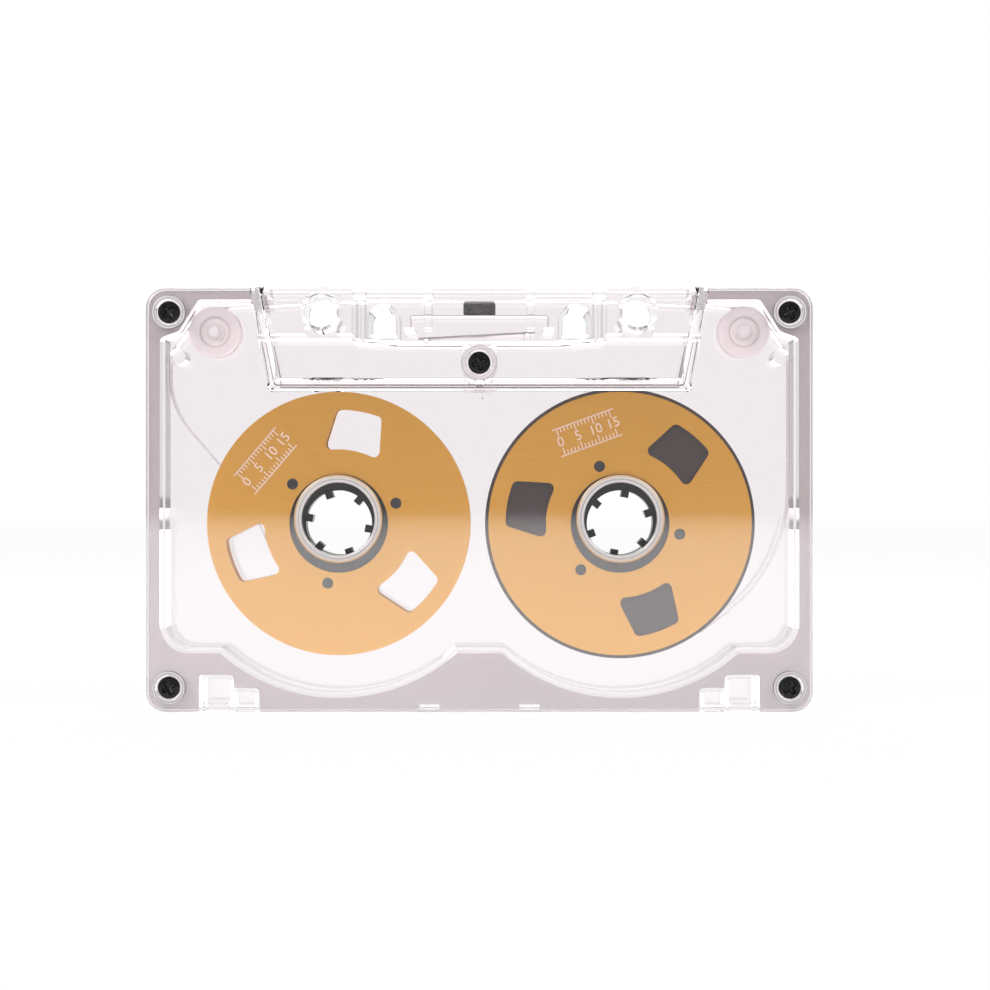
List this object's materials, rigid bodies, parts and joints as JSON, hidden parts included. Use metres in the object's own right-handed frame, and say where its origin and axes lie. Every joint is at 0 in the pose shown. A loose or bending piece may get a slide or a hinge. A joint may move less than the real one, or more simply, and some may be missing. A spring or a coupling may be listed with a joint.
{
  "type": "audio cassette tape",
  "caption": "Clear two-part cassette shell with a silver surround, gold open reels, tape pack, guide rollers, pressure pad and screws.",
  "frame": {"origin": "middle of the long bottom edge, halfway through the thickness", "axes": "+X along the long side to the right as seen from the front, +Y from the front face to the rear face, +Z from the write-protect edge up to the tape edge"},
  "size_m": [0.1004, 0.012, 0.0638],
  "materials": {
    "clear_shell": "clear moulded polystyrene",
    "silver_surround": "satin silver-grey",
    "gold_anodised": "anodised, brushed",
    "black_plastic": "moulded, satin",
    "tape_coating": "wound tape on edge",
    "clear_film": "clear film",
    "translucent_plastic": "translucent moulded",
    "steel": "ground",
    "shield_metal": "dull",
    "spring_metal": "rolled",
    "felt": "pressed felt",
    "screw_black": "black oxide"
  },
  "bodies": {
    "shell": {"front_shell": "clear_shell", "rear_shell": "clear_shell", "surround_frame": "silver_surround", "leader_tape": "clear_film", "shield_plate": "shield_metal", "pad_spring": "spring_metal", "left_roller_pin": "steel", "right_roller_pin": "steel", "corner_screws": "screw_black", "centre_screw": "screw_black"},
    "left_reel": {"left_hub": "black_plastic", "left_front_flange": "gold_anodised", "left_rear_flange": "gold_anodised", "left_tape_clamp": "black_plastic"},
    "right_reel": {"right_hub": "black_plastic", "right_front_flange": "gold_anodised", "right_rear_flange": "gold_anodised", "right_tape_clamp": "black_plastic", "tape_pack": "tape_coating"},
    "left_roller": {"left_guide_roller": "translucent_plastic"},
    "right_roller": {"right_guide_roller": "translucent_plastic"},
    "pad": {"pressure_pad": "felt"}
  },
  "joints": [
    {"name": "left_reel_spin", "type": "hinge", "parent": "shell", "child": "left_reel", "pos_m": [-0.02125, 0, 0.02835], "axis": [0, -1, 0], "continuous": true},
    {"name": "right_reel_spin", "type": "hinge", "parent": "shell", "child": "right_reel", "pos_m": [0.02125, 0, 0.02835], "axis": [0, -1, 0], "continuous": true},
    {"name": "left_roller_spin", "type": "hinge", "parent": "shell", "child": "left_roller", "pos_m": [-0.04, 0, 0.0573], "axis": [0, -1, 0], "continuous": true},
    {"name": "right_roller_spin", "type": "hinge", "parent": "shell", "child": "right_roller", "pos_m": [0.04, 0, 0.0573], "axis": [0, -1, 0], "continuous": true},
    {"name": "pad_press", "type": "slide", "parent": "shell", "child": "pad", "axis": [0, 0, -1], "range_m": [0, 0.0008], "stiffness_N_per_m": 150, "springref_m": -0.0003, "deforming": ["pad_spring"]}
  ]
}
